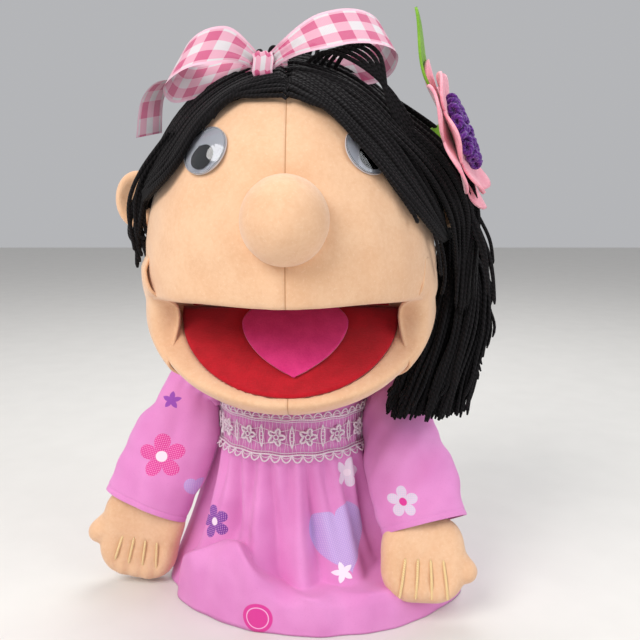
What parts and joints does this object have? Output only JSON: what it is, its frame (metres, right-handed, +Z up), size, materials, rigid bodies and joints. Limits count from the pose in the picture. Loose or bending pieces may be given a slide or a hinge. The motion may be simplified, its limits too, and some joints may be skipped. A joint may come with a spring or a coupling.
{
  "type": "hand puppet",
  "caption": "Stuffed girl hand puppet with an opening mouth worked by the hand inside, yarn hair with bow and flower, gathered dress, and swinging arms with mitten hands.",
  "frame": {"origin": "centre of the hand tunnel's lower rim, on the plane that the hem stands on", "axes": "+Z up along the hand tunnel, the face looks along -Y, +X is the puppet's own left"},
  "size_m": [0.2708, 0.2251, 0.3725],
  "materials": {
    "dress_cotton": "plain weave cotton with a small print",
    "lace": "open cotton lace",
    "skin_fleece": "brushed fleece",
    "elastic": "ribbed elastic",
    "stuffing": "foam and fibre fill",
    "mouth_felt": "matted felt",
    "tongue_felt": "matted felt",
    "mouth_board": "stiff sheet",
    "pocket_cloth": "plain cloth",
    "eye_white": "smooth",
    "eye_black": "smooth",
    "eye_clear": "clear domed plastic",
    "hair_yarn": "loose twisted yarn",
    "wig_cloth": "felt",
    "hair_tie": "soft band",
    "gingham_ribbon": "sheer checked ribbon with satin edges",
    "petal_felt": "matted felt",
    "purple_yarn": "curled yarn",
    "leaf_felt": "matted felt",
    "stitch_thread": "thick thread"
  },
  "bodies": {
    "torso": {"hand_sleeve": "skin_fleece", "dress_bodice": "dress_cotton", "dress_skirt": "dress_cotton", "lace_trim": "lace"},
    "neck": {"neck_sleeve": "skin_fleece"},
    "neck_band": {"neck_elastic": "elastic"},
    "head": {"bow_knot": "gingham_ribbon", "bow_left_loop": "gingham_ribbon", "bow_right_loop": "gingham_ribbon", "bow_tail": "gingham_ribbon", "finger_pocket": "pocket_cloth", "flower_centre": "purple_yarn", "flower_leaf": "leaf_felt", "flower_pad": "leaf_felt", "flower_petals_back": "petal_felt", "flower_petals_front": "petal_felt", "fringe_left": "hair_yarn", "fringe_right": "hair_yarn", "hair_back": "hair_yarn", "head_cover_left": "skin_fleece", "head_cover_right": "skin_fleece", "head_stuffing": "stuffing", "left_ear": "skin_fleece", "left_eye_back": "eye_white", "left_eye_dome": "eye_clear", "loose_lock": "hair_yarn", "mouth_fold": "mouth_felt", "neck_cover": "skin_fleece", "nose_cover": "skin_fleece", "nose_stuffing": "stuffing", "ponytail_root": "hair_yarn", "right_ear": "skin_fleece", "right_eye_back": "eye_white", "right_eye_dome": "eye_clear", "topknot": "hair_yarn", "upper_mouth_board": "mouth_board", "upper_mouth_lining": "mouth_felt", "wig_cap": "wig_cloth"},
    "jaw": {"jaw_cover_left": "skin_fleece", "jaw_cover_right": "skin_fleece", "jaw_stuffing": "stuffing", "lower_mouth_board": "mouth_board", "lower_mouth_lining": "mouth_felt", "tongue": "tongue_felt", "thumb_pocket": "pocket_cloth"},
    "left_pupil": {"left_pupil": "eye_black"},
    "right_pupil": {"right_pupil": "eye_black"},
    "ponytail": {"ponytail": "hair_yarn", "ponytail_tie": "hair_tie"},
    "left_shoulder": {"left_armhole_binding": "dress_cotton"},
    "left_arm": {"left_sleeve": "dress_cotton", "left_arm_stuffing": "stuffing"},
    "left_hand": {"left_hand": "skin_fleece", "left_finger_stitches": "stitch_thread"},
    "right_shoulder": {"right_armhole_binding": "dress_cotton"},
    "right_arm": {"right_sleeve": "dress_cotton", "right_arm_stuffing": "stuffing"},
    "right_hand": {"right_hand": "skin_fleece", "right_finger_stitches": "stitch_thread"}
  },
  "joints": [
    {"name": "neck_turn", "type": "hinge", "parent": "torso", "child": "neck", "pos_m": [0, 0, 0.15], "axis": [0, 0, 1], "range_deg": [-20, 20]},
    {"name": "head_nod", "type": "hinge", "parent": "neck", "child": "neck_band", "pos_m": [0, 0, 0.15], "axis": [1, 0, 0], "range_deg": [-10, 8]},
    {"name": "head_tilt", "type": "hinge", "parent": "neck_band", "child": "head", "pos_m": [0, 0, 0.15], "axis": [0, 1, 0], "range_deg": [-8, 8]},
    {"name": "jaw_hinge", "type": "hinge", "parent": "head", "child": "jaw", "pos_m": [0, -0.049, 0.2035], "axis": [1, 0, 0], "range_deg": [-39, 6]},
    {"name": "left_pupil_roll", "type": "hinge", "parent": "head", "child": "left_pupil", "pos_m": [0.04305, -0.09848, 0.29254], "axis": [0.5243, -0.7244, 0.4476], "continuous": true},
    {"name": "right_pupil_roll", "type": "hinge", "parent": "head", "child": "right_pupil", "pos_m": [-0.04305, -0.09848, 0.29254], "axis": [-0.5243, -0.7244, 0.4476], "continuous": true},
    {"name": "ponytail_swing", "type": "hinge", "parent": "head", "child": "ponytail", "pos_m": [0.106, -0.022, 0.246], "axis": [0, -1, 0], "range_deg": [0, 25]},
    {"name": "left_shoulder_swing", "type": "hinge", "parent": "torso", "child": "left_shoulder", "pos_m": [0.062, -0.003, 0.147], "axis": [1, 0, 0], "range_deg": [-25, 0]},
    {"name": "left_arm_raise", "type": "hinge", "parent": "left_shoulder", "child": "left_arm", "pos_m": [0.062, -0.003, 0.147], "axis": [0, -1, 0], "range_deg": [0, 15]},
    {"name": "left_wrist", "type": "hinge", "parent": "left_arm", "child": "left_hand", "pos_m": [0.08449, -0.05891, 0.04843], "axis": [0.999, 0, -0.0444], "range_deg": [-25, 2]},
    {"name": "right_shoulder_swing", "type": "hinge", "parent": "torso", "child": "right_shoulder", "pos_m": [-0.062, -0.003, 0.147], "axis": [1, 0, 0], "range_deg": [-30, 15]},
    {"name": "right_arm_raise", "type": "hinge", "parent": "right_shoulder", "child": "right_arm", "pos_m": [-0.062, -0.003, 0.147], "axis": [0, 1, 0], "range_deg": [0, 40]},
    {"name": "right_wrist", "type": "hinge", "parent": "right_arm", "child": "right_hand", "pos_m": [-0.10372, -0.02155, 0.0473], "axis": [0.9778, 0, -0.2095], "range_deg": [-25, 25]}
  ]
}
